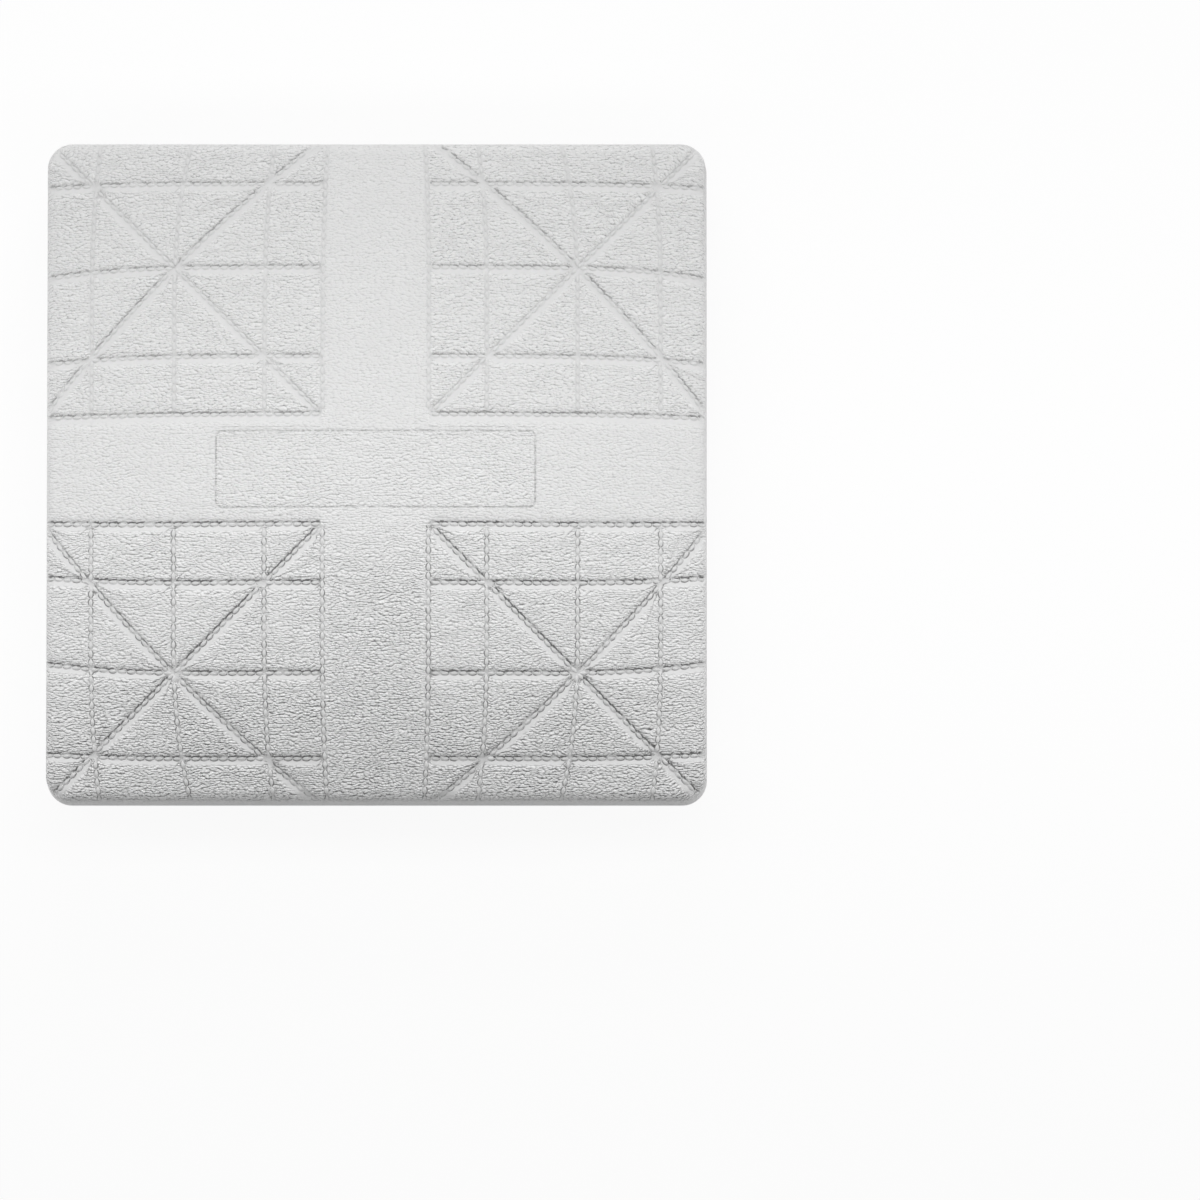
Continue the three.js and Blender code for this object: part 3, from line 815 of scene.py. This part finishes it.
# a point of a line of the quilting, in plan, by its number and the way along it
def onLine(number, along):
    if number < uprightCount:
        offset = quilt["uprights"][number] * lean(along, quilt["uprightBows"][number])
        return np.stack([offset, along], -1)
    if number < toSide:
        level = number - uprightCount
        offset = quilt["levels"][level] * lean(along, quilt["levelBows"][level])
        return np.stack([along, offset], -1)
    gap = along * np.sqrt(2) if number == toSide else 0 * along
    total = 2 * starLine - slantBend * gap ** 2 if number == toSide else along * np.sqrt(2)
    return np.stack([(total - gap - starGap) / 2, (total + gap + starGap) / 2], -1)


def addStitches():
    rows = []
    for number in range(lineCount):
        pitch = stitch["pitch"][number >= uprightCount]
        along = (np.arange(*stitch["reach"]) + 0.5) * pitch
        tangent = onLine(number, along + 0.5) - onLine(number, along - 0.5)
        row = np.column_stack([onLine(number, along), np.arctan2(*tangent.T[::-1])])
        first = np.array([quilt["uprights"][0], quilt["levels"][0]]) + stitch["start"]
        first = first * [number != 0, number != uprightCount]
        inside = row[:, :2].max(1) < shoulder - stitch["stop"]
        rows.append(row[(row[:, :2] > first).all(1) & inside])
    rows = np.concatenate(rows)
    x, y = np.concatenate([rows[:, :2] * sign for sign in signs]).T
    heading = rows[:, 2]
    heading = np.concatenate([heading, np.pi - heading, np.pi + heading, -heading])
    z, normal = crownUnder(x, y)
    height, seam, _ = quiltRelief(x, y, z)
    kept = seam > stitch["plain"]
    x, y, z, height, heading, normal = (values[kept] for values in (x, y, z, height, heading, normal))
    ahead = np.stack([np.cos(heading), np.sin(heading), np.zeros_like(heading)], -1)
    ahead = unit(ahead - normal * (ahead * normal).sum(-1, keepdims=True))
    sideways = np.cross(normal, ahead)
    seat = np.stack([x, y, z], -1) + normal * (height + stitch["lift"])[:, None]
    bead, beadFaces = spindle()
    points = (
        seat[:, None] + bead[None, :, :1] * ahead[:, None] + bead[None, :, 1:2] * sideways[:, None]
        + bead[None, :, 2:] * normal[:, None]).reshape(-1, 3)
    start = (np.arange(len(seat)) * len(bead))[:, None, None]
    faces = [(group[None] + start).reshape(-1, group.shape[1]) for group in beadFaces]
    addRubber("stitches", (points, faces), sharp=stitch["sharp"])
    print("stitches:", len(seat))


addCells()
addBands()
addSkirt()
addStitches()


# The tray and its rib frame

under = {
    "half": 187.4,  # outside of the tray at the rim
    "lip": 7.1,
    "lipEdge": 1.6,  # rounded inner edge of the lip
    "lipOuterEdge": 0.5,
    "wallDraft": 2.0,
    "corner": 7.5,
    "outerCorner": 11.4,
    "level": 20.0,  # half width of a dome's level middle
    "round": 200.0,  # what a dome's corner radius grows towards on the way in
    "power": 1.5,  # how late a dome starts to fall on its way out
    "domeSteps": 30,
    "lipSteps": 6,
    "edgeSteps": 3,
    "ringSteps": (14, 14),  # round a corner and along a side
}
wallFoot = under["half"] - under["lip"]
ceiling = {"edge": wallFoot - under["wallDraft"], "corner": under["corner"], "top": 67.0, "fall": 18.0}
deckEdge = under["half"] - body["draft"]
deck = {"edge": deckEdge, "corner": under["outerCorner"], "top": 75.0, "fall": 26.0}
rib = {
    "crestZ": 26.0,
    "width": 9.0,
    "spread": 0.6,  # how far a flank leans out to the root
    "crest": 2.6,  # rounded edges of a straight crest
    "arcCrest": 3.6,
    "bossCrest": 1.6,
    "crossDrop": 0.12,  # crests of straight ribs and of arcs lie this far behind those of diagonals
    "arcDrop": 0.06,
    "bossRise": 0.05,  # how far a boss stands out of its diagonal
    "root": 3.5,  # fillet into the ceiling
    "bury": 1.0,  # how far a root runs into the deck
    "ring": 121.8,
    "arcMiddle": 149.8,
    "arcCorner": 132.3,
    "diagonal": (5.0, 235.9),  # start and end, from the middle
    "endWidth": 7.0,
    "endTaper": 45.0,  # it narrows to that over this length
    "endFine": 30.0,  # stations are closer together over this length
    "endSlope": (11.0, -3.0),  # the crest slopes back between these distances before the end
    "endDrop": 7.5,
    "least": 0.02,  # half width of a crest that closes
    "endLeast": 0.01,  # share of the width left at the very end
    "hub": 13.4,
    "overlap": 3.0,  # members run this far into those they meet
    "straightSteps": 12,
    "arcSteps": 60,
    "diagonalSteps": (24, 14, 9),  # up to the fine part, over it, and round the end
    "sectionSteps": (6, 5),  # round an edge or fillet, and down a flank
}
spikeSize = {
    "foot": 6.4,
    "tip": 3.4,
    "tipEnd": 0.12,  # the round tip ends this share of a quarter turn below level
    "point": 0.15,  # least radius
    "cone": 1.5,  # the cone ends this far below the crest
    # out from the foot, up from the crest
    "flare": ((-0.1, -1.2), (0.15, -0.6), (0.45, -0.15), (0.9, 0.3)),
    "sunk": 4.0,  # how far the foot runs into its rib
    "collar": 7.6,  # radius of the boss round it
    "sides": 40,
    "tipSteps": 9,
    "coneSteps": 6,
}


# half width, corner radius and height of a dome, from the wall at angle 0 in to the middle
def domeAt(angle, dome):
    share = np.cos(angle)
    half = under["level"] + (dome["edge"] - under["level"]) * share
    radius = np.minimum(half, dome["corner"] + (under["round"] - dome["corner"]) * np.sin(angle))
    return half, radius, dome["top"] - dome["fall"] * (1 - np.sqrt(1 - share ** under["power"]))


# height of the ceiling over points in plan, once they are turned
def ceilingOver(plan, turn):
    c, s = np.cos(turn), np.sin(turn)
    x, y = c * plan[..., 0] - s * plan[..., 1], s * plan[..., 0] + c * plan[..., 1]
    found = ringAt(x, y, quarter, 0, lambda angle: domeAt(angle, ceiling)[:2])
    return domeAt(found, ceiling)[2]


# from the ceiling's middle out to the wall, down it, round the lip, up outside and over the deck
def addTray():
    rim, lip, edge = body["rimZ"], under["lipEdge"], under["lipOuterEdge"]
    angle = np.linspace(0, quarter, under["domeSteps"])
    lipX, lipZ = arcOf(lip, 2 * quarter, 3 * quarter, under["lipSteps"])
    edgeX, edgeZ = arcOf(edge, 3 * quarter, 4 * quarter, under["edgeSteps"])
    ceilingRows = domeAt(angle[::-1], ceiling)
    lipRows = wallFoot + lip + lipX, under["corner"] + lip + lipX, rim + lip + lipZ
    edgeRows = under["half"] - edge + edgeX, under["outerCorner"] + 0 * edgeX, rim + edge + edgeZ
    rows = zip(ceilingRows, lipRows, edgeRows, domeAt(angle, deck))
    half, radius, z = (np.concatenate(row) for row in rows)
    rings = squareRings(half, radius, z, squareUnits(*under["ringSteps"]))
    addPiece("trayPan", skinOf(rings), white, "smooth_white", ["tray"])


# Half a rib's section, crest down: offset from the half width, how far a point belongs to the crest
# rather than the root, and its rise from there.
def ribSection(crest):
    roundSteps, flankSteps = rib["sectionSteps"]
    root, spread = rib["root"], rib["spread"]
    edgeX, edgeZ = arcOf(crest, 3 * quarter, 4 * quarter, roundSteps)
    rootX, rootZ = arcOf(root, 2 * quarter, quarter, roundSteps)
    share = np.linspace(0, 1, flankSteps)[1:-1]
    offset = np.concatenate([edgeX - crest, spread * share, spread + root + rootX, [spread + root]])
    toCrest = np.concatenate([np.ones(len(edgeX)), 1 - share, np.zeros(len(rootX) + 1)])
    flank = crest * (1 - share) - root * share
    rise = np.concatenate([crest + edgeZ, flank, rootZ - root, [rib["bury"]]])
    return offset, toCrest, rise


# a skin over such sections, whose roots follow the ceiling they have once they are turned
def ribSkin(plan, crestZ, toCrest, rise, turn):
    z = crestZ * toCrest + ceilingOver(plan, turn) * (1 - toCrest) + rise
    return skinOf(np.concatenate([plan, z[..., None]], -1))


# a rib along a path in plan, with one half width and crest height or one for each station
def ribAlong(path, halfWidth, crestZ, crest, turn=0.0):
    offset, toCrest, rise = ribSection(crest)
    halfWidth, crestZ = (np.broadcast_to(row, len(path))[:, None] for row in (halfWidth, crestZ))
    heading = unit(np.gradient(path, axis=0))
    left = np.stack([-heading[:, 1], heading[:, 0]], -1)
    across = np.maximum(halfWidth + offset, rib["least"])
    across = np.concatenate([across, -across[:, ::-1]], 1)
    plan = path[:, None] + left[:, None] * across[..., None]
    toCrest, rise = (np.concatenate([row, row[::-1]]) for row in (toCrest, rise))
    return ribSkin(plan, crestZ, toCrest, rise, turn)


def straightRib(start, end):
    x = np.linspace(start, end, rib["straightSteps"])
    path = np.stack([x, np.zeros_like(x)], -1)
    return ribAlong(path, rib["width"] / 2, rib["crestZ"] + rib["crossDrop"], rib["crest"])


def arcRib(centreX, radius, reachAngle):
    angle = np.linspace(-reachAngle, reachAngle, rib["arcSteps"])
    path = np.stack([centreX + radius * np.cos(angle), radius * np.sin(angle)], -1)
    return ribAlong(path, rib["width"] / 2, rib["crestZ"] + rib["arcDrop"], rib["arcCrest"])


# a profile of radius and height, turned about an upright axis at a distance along x
def turnedBody(radius, z, centreX):
    angle = wholeTurn(spikeSize["sides"])
    radius, z = radius[:, None], z[:, None]
    rings = np.broadcast_arrays(centreX + radius * np.cos(angle), radius * np.sin(angle), z)
    return skinOf(np.stack(rings, -1))


# A boss or hub: a rounded crest edge, an upright side and a fillet into the ceiling.
def roundBoss(radius, centreX):
    offset, toCrest, rise = ribSection(rib["bossCrest"])
    angle = wholeTurn(spikeSize["sides"])
    spread = (radius + offset)[:, None]
    plan = np.stack([centreX + spread * np.cos(angle), spread * np.sin(angle)], -1)
    crestZ = rib["crestZ"] - rib["bossRise"]
    return ribSkin(plan, crestZ, toCrest[:, None], rise[:, None], quarter / 2)


# A diagonal: at its free end it narrows and rounds off, and its crest slopes back.
def diagonalRib():
    start, end = rib["diagonal"]
    half, tip = rib["width"] / 2, rib["endWidth"] / 2
    fine, roundFrom = end - rib["endFine"], end - tip
    longSteps, fineSteps, roundSteps = rib["diagonalSteps"]
    run = np.concatenate([
        np.linspace(start, fine, longSteps)[:-1], np.linspace(fine, roundFrom, fineSteps)[:-1],
        roundFrom + tip * np.sin(np.linspace(0, quarter, roundSteps))])
    width = np.interp(run, [end - rib["endTaper"], roundFrom], [half, tip])
    past = np.clip((run - roundFrom) / tip, 0, 1)
    width = width * np.sqrt(np.maximum(1 - past ** 2, rib["endLeast"] ** 2))
    slope = smoothStep(run, *(end - np.array(rib["endSlope"])))
    path = np.stack([run, np.zeros_like(run)], -1)
    return ribAlong(path, width, rib["crestZ"] + rib["endDrop"] * slope, rib["crest"], quarter / 2)


def spikeProfile():
    tip, foot = spikeSize["tip"], spikeSize["foot"]
    crest = rib["crestZ"]
    tipX, tipZ = arcOf(tip, -quarter, -spikeSize["tipEnd"] * quarter, spikeSize["tipSteps"])
    rise = np.linspace(0, 1, spikeSize["coneSteps"])[1:-1]
    startX, startZ = tipX[-1], tip + tipZ[-1]
    coneRise = (crest - spikeSize["cone"] - startZ) * rise
    coneX = startX + (foot - startX) * coneRise / (crest - startZ)
    flareX, flareZ = np.transpose(spikeSize["flare"])
    radius = np.concatenate([np.maximum(tipX, spikeSize["point"]), coneX, foot + flareX, [foot]])
    z = [tip + tipZ, startZ + coneRise, crest + flareZ, [crest + spikeSize["sunk"]]]
    return radius, np.concatenate(z)


spikeAt = {"ring": rib["ring"], "corner": rib["arcCorner"] * np.sqrt(2)}


# a moulded piece, turned into place, instead of its node
def addMoulded(node, skin, angle=0.0):
    points, faces = skin
    addPiece(node + "_moulded", (turned(points, angle), faces), white, "smooth_white", [node])


def addFrame():
    overlap = rib["overlap"]
    arcBow = rib["arcMiddle"] - rib["arcCorner"]
    arcRadius = (rib["arcCorner"] ** 2 + arcBow ** 2) / (2 * arcBow)
    arcReach = np.arcsin(rib["arcCorner"] / arcRadius)
    members = {
        "cross_rib": straightRib(rib["hub"] - overlap, rib["ring"]),
        "ring_arc": arcRib(0, rib["ring"], quarter / 2),
        "outer_arc": arcRib(rib["arcMiddle"] - arcRadius, arcRadius, arcReach),
        "stub_rib": straightRib(rib["arcMiddle"], wallFoot + overlap),
    }
    for turn, side in enumerate(sides):
        for part, skin in members.items():
            addMoulded(part + "_" + side, skin, turn * quarter)
    bosses = [roundBoss(spikeSize["collar"], distance) for distance in spikeAt.values()]
    diagonal = joined([diagonalRib()] + bosses)
    profile = spikeProfile()
    for turn, corner in enumerate(corners):
        angle = (turn + 0.5) * quarter
        addMoulded("diagonal_rib_" + corner, diagonal, angle)
        for place, distance in spikeAt.items():
            addMoulded(place + "_spike_" + corner, turnedBody(*profile, distance), angle)
    addMoulded("hub", roundBoss(rib["hub"], 0))


addTray()
addFrame()


# Stage, light and camera

stage = {
    "floorHalf": 6.0,  # metres
    "floorColour": (0.92, 0.92, 0.92, 1),
    "glow": 0.93,  # share of plain white in what the camera sees of the floor
    "fill": 0.262,  # world light
}
# a long soft box close over the base, a far one behind it, and low weak ones in front and beside it;
# places and sizes in metres, angles of tilt and turn in degrees
lamps = {
    "strip": {"place": (0.0, -0.03, 0.40), "size": (2.4, 0.12), "power": 2.7, "angles": (0.0, 0.0)},
    "back": {"place": (0.0, 1.0, 0.6), "size": (0.8, 0.4), "power": 6.1, "angles": (-62.0, 0.0)},
    "front": {"place": (0.0, -1.4, 0.22), "size": (0.5, 0.3), "power": 1.2, "angles": (84.0, 0.0)},
    "left": {"place": (-1.2, 0.05, 0.22), "size": (0.5, 0.3), "power": 2.0, "angles": (84.0, -90.0)},
    "right": {"place": (1.2, 0.05, 0.22), "size": (0.5, 0.3), "power": 2.0, "angles": (84.0, 90.0)},
}
view = {
    "middle": (128.7, -72.1),  # the point under the middle of the picture
    "height": 30.0,
    "away": 6000.0,
    "tilt": 3.5,  # degrees from straight down, towards the front
    "lens": 311.8,
    "sensor": 36.0,
    "clip": 30.0,  # metres
}


# what the camera and mirrors see is white; the object is lit by the plain floor and a plain sky
def addStage():
    half = stage["floorHalf"]
    mesh = bpy.data.meshes.new("floor")
    points = [(-half, -half, 0), (half, -half, 0), (half, half, 0), (-half, half, 0)]
    mesh.from_pydata(points, [], [(0, 1, 2, 3)])
    finish, w = newFinish("paleFloor")
    kinds = ("Is Camera Ray", "Is Glossy Ray", "Is Transmission Ray")
    camera, glossy, through = (w.node("LightPath", out=kind) for kind in kinds)
    seen = camera.most(glossy).most(through)
    plain = w.node("BsdfDiffuse", {}, {"Color": stage["floorColour"]})
    glow = w.node("Emission", {}, {"Color": (1, 1, 1, 1), "Strength": 1.0})
    shown = w.node("MixShader", {}, {0: seen * stage["glow"], 1: plain, 2: glow})
    w.node("OutputMaterial", {}, {"Surface": shown})
    mesh.materials.append(finish)
    addObject("floor", mesh)

    world = bpy.data.worlds.new("studio")
    bpy.context.scene.world = world
    world.use_nodes = True
    world.node_tree.nodes.clear()
    w = Wire(world.node_tree)
    ray = w.node("LightPath", out="Is Camera Ray")
    power = ray.partly(1 - stage["fill"])
    sky = w.node("Background", {}, {"Color": (1, 1, 1, 1), "Strength": power})
    w.node("OutputWorld", {}, {"Surface": sky})


def addLamps():
    for name, lamp in lamps.items():
        light = bpy.data.lights.new(name, "AREA")
        light.shape = "RECTANGLE"
        light.size, light.size_y = lamp["size"]
        light.energy = lamp["power"]
        holder = addObject(name, light)
        holder.location = lamp["place"]
        tilt, turn = np.radians(lamp["angles"])
        holder.rotation_euler = (tilt, 0, turn)
        holder.visible_camera = False


def addCamera():
    lens = bpy.data.cameras.new("camera")
    lens.lens = view["lens"]
    lens.sensor_width = view["sensor"]
    lens.clip_end = view["clip"]
    camera = addObject("camera", lens)
    tilt = np.radians(view["tilt"])
    aim = np.array([*view["middle"], view["height"]])
    camera.location = (aim + view["away"] * np.array([0, -np.sin(tilt), np.cos(tilt)])) * mm
    camera.rotation_euler = (tilt, 0, 0)
    bpy.context.scene.camera = camera


addStage()
addLamps()
addCamera()
bpy.context.scene.view_settings.view_transform = "Standard"
